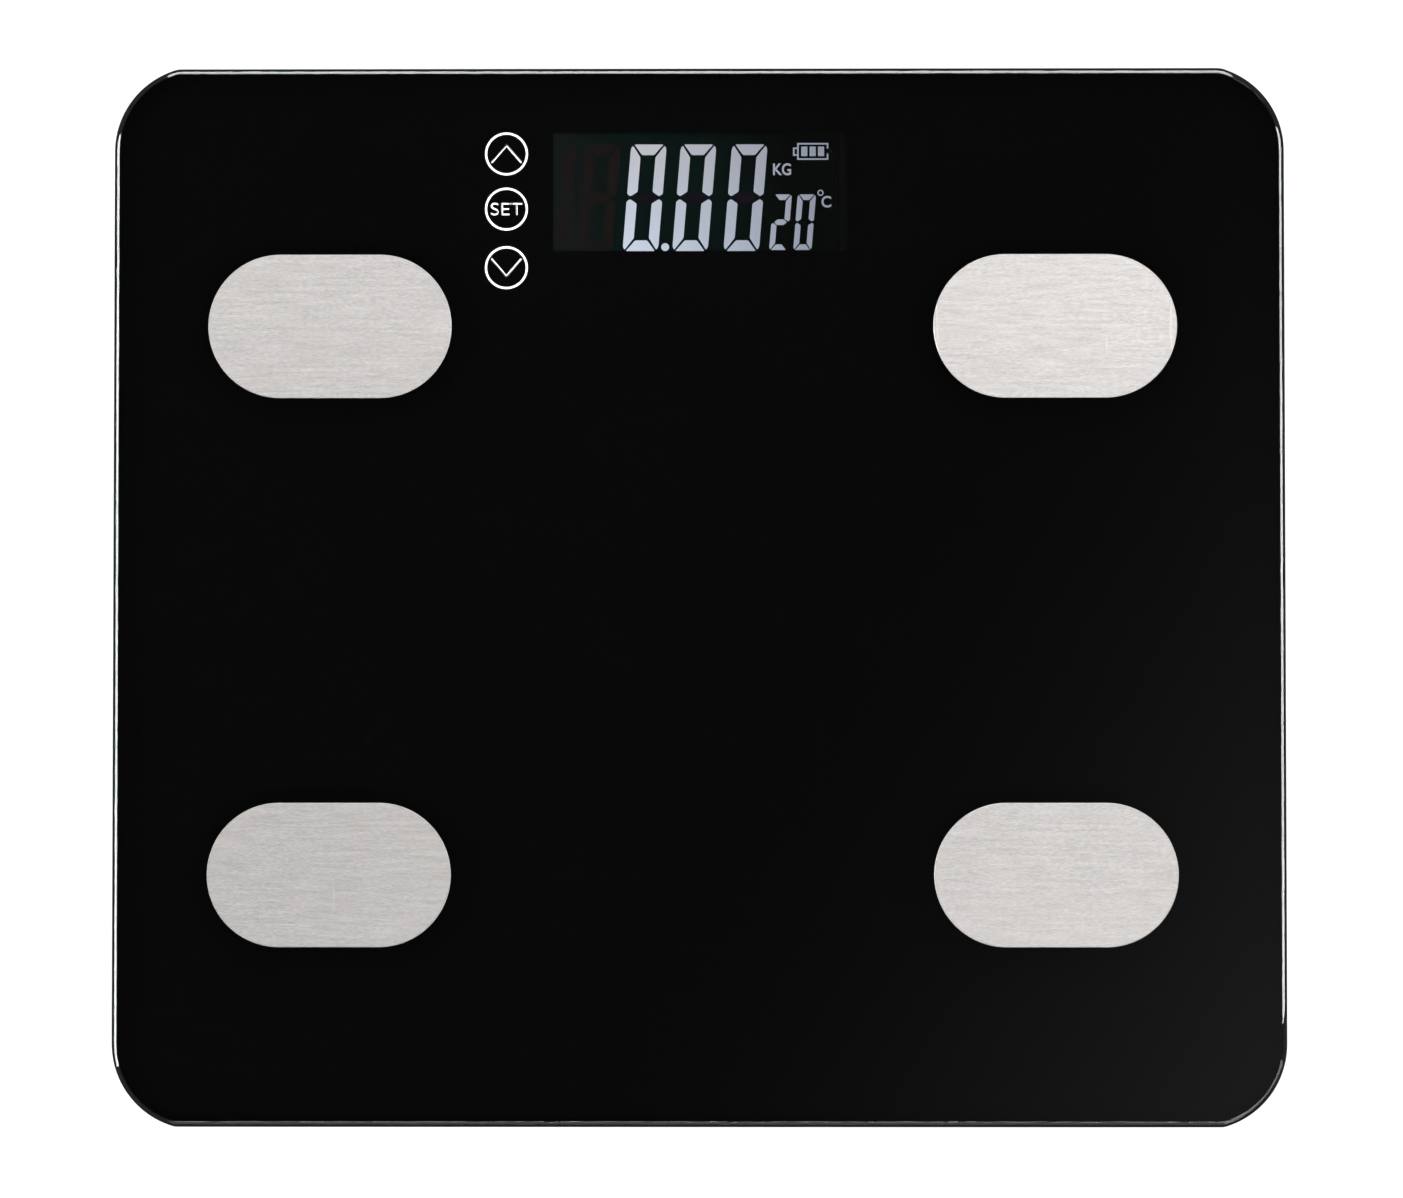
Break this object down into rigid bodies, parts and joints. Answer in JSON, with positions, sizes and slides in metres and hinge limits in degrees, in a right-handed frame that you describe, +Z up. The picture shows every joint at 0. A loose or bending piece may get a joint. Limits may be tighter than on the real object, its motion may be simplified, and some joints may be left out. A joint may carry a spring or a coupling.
{
  "type": "digital bathroom scale",
  "caption": "Glass-top electronic bathroom scale with steel foot electrodes, a lit display behind the glass, touch keys and sprung load-cell feet.",
  "frame": {"origin": "on the floor, under the middle of the glass platform", "axes": "+X to the user's right, +Y from the user's heels towards the display, +Z up"},
  "size_m": [0.31, 0.28, 0.0262],
  "materials": {
    "platform_glass": "polished tempered glass with a ground edge",
    "black_ink": "screen-printed, behind glass",
    "white_ink": "screen-printed, behind glass",
    "electrode_steel": "brushed across, with a bright edge",
    "adhesive_film": "satin",
    "foam_tape": "closed-cell foam",
    "nickel_plate": "plated",
    "tray_plastic": "fine moulded texture",
    "cell_steel": "nickel-plated spring steel",
    "gauge_silicone": "matt",
    "ring_plastic": "moulded",
    "foot_plastic": "moulded",
    "pad_rubber": "soft, ribbed",
    "board_green": "solder mask",
    "screw_steel": "zinc plated",
    "chip_resin": "cast resin",
    "chip_parts": "ceramic and metal",
    "switch_plastic": "moulded",
    "header_plastic": "nylon",
    "display_glass": "polished",
    "frame_plastic": "moulded",
    "gasket_foam": "open-cell foam",
    "guide_acrylic": "polished",
    "reflector_film": "white film",
    "lamp_resin": "clear over phosphor",
    "pillar_foam": "carbon-filled foam",
    "spring_steel": "drawn wire",
    "cell_wrap": "shrink film",
    "button_plastic": "moulded",
    "sleeve_grey": "vinyl sleeve",
    "lead_white": "vinyl insulation",
    "lead_red": "vinyl insulation",
    "lead_black": "vinyl insulation"
  },
  "bodies": {
    "platform": {"back_print": "black_ink", "backlight_guide": "guide_acrylic", "backlight_leds": "lamp_resin", "backlight_reflector": "reflector_film", "base_tray": "tray_plastic", "battery_front": "cell_wrap", "battery_lead_negative": "lead_black", "battery_lead_positive": "lead_red", "battery_rear": "cell_wrap", "battery_springs": "spring_steel", "battery_terminals": "nickel_plate", "chip_blob": "chip_resin", "electrode_adhesives": "adhesive_film", "electrode_front_left": "electrode_steel", "electrode_front_right": "electrode_steel", "electrode_lead_front_left": "lead_white", "electrode_lead_front_right": "lead_white", "electrode_lead_rear_left": "lead_white", "electrode_lead_rear_right": "lead_white", "electrode_lugs": "nickel_plate", "electrode_nuts": "nickel_plate", "electrode_rear_left": "electrode_steel", "electrode_rear_right": "electrode_steel", "foot_ring_front_left": "ring_plastic", "foot_ring_front_right": "ring_plastic", "foot_ring_rear_left": "ring_plastic", "foot_ring_rear_right": "ring_plastic", "glass_platform": "platform_glass", "key_legends": "white_ink", "lcd_frame": "frame_plastic", "lcd_gasket": "gasket_foam", "lcd_panel": "display_glass", "lcd_pins": "nickel_plate", "lead_headers": "header_plastic", "load_cell_front_left": "cell_steel", "load_cell_front_right": "cell_steel", "load_cell_lead_front_left": "sleeve_grey", "load_cell_lead_front_right": "sleeve_grey", "load_cell_lead_rear_left": "sleeve_grey", "load_cell_lead_rear_right": "sleeve_grey", "load_cell_rear_left": "cell_steel", "load_cell_rear_right": "cell_steel", "main_pcb": "board_green", "pcb_screws": "screw_steel", "platform_tape": "foam_tape", "smd_parts": "chip_parts", "strain_gauges": "gauge_silicone", "touch_pillars": "pillar_foam", "unit_switch": "switch_plastic"},
    "foot_rear_left": {"foot_rear_left": "foot_plastic", "foot_pad_rear_left": "pad_rubber"},
    "foot_rear_right": {"foot_rear_right": "foot_plastic", "foot_pad_rear_right": "pad_rubber"},
    "foot_front_left": {"foot_front_left": "foot_plastic", "foot_pad_front_left": "pad_rubber"},
    "foot_front_right": {"foot_front_right": "foot_plastic", "foot_pad_front_right": "pad_rubber"},
    "battery_door": {"battery_door": "tray_plastic"},
    "unit_button": {"unit_button": "button_plastic", "switch_plunger": "switch_plastic"}
  },
  "joints": [
    {"name": "foot_rear_left_press", "type": "slide", "parent": "platform", "child": "foot_rear_left", "axis": [0, 0, 1], "range_m": [0, 0.0006], "stiffness_N_per_m": 400000, "deforming": ["load_cell_rear_left"]},
    {"name": "foot_rear_right_press", "type": "slide", "parent": "platform", "child": "foot_rear_right", "axis": [0, 0, 1], "range_m": [0, 0.0006], "stiffness_N_per_m": 400000, "deforming": ["load_cell_rear_right"]},
    {"name": "foot_front_left_press", "type": "slide", "parent": "platform", "child": "foot_front_left", "axis": [0, 0, 1], "range_m": [0, 0.0006], "stiffness_N_per_m": 400000, "deforming": ["load_cell_front_left"]},
    {"name": "foot_front_right_press", "type": "slide", "parent": "platform", "child": "foot_front_right", "axis": [0, 0, 1], "range_m": [0, 0.0006], "stiffness_N_per_m": 400000, "deforming": ["load_cell_front_right"]},
    {"name": "battery_door_hinge", "type": "hinge", "parent": "platform", "child": "battery_door", "pos_m": [-0.03035, -0.005, 0.006], "axis": [0, 1, 0], "range_deg": [0, 60]},
    {"name": "unit_button_press", "type": "slide", "parent": "platform", "child": "unit_button", "axis": [0, 0, 1], "range_m": [0, 0.0006], "stiffness_N_per_m": 3000}
  ]
}
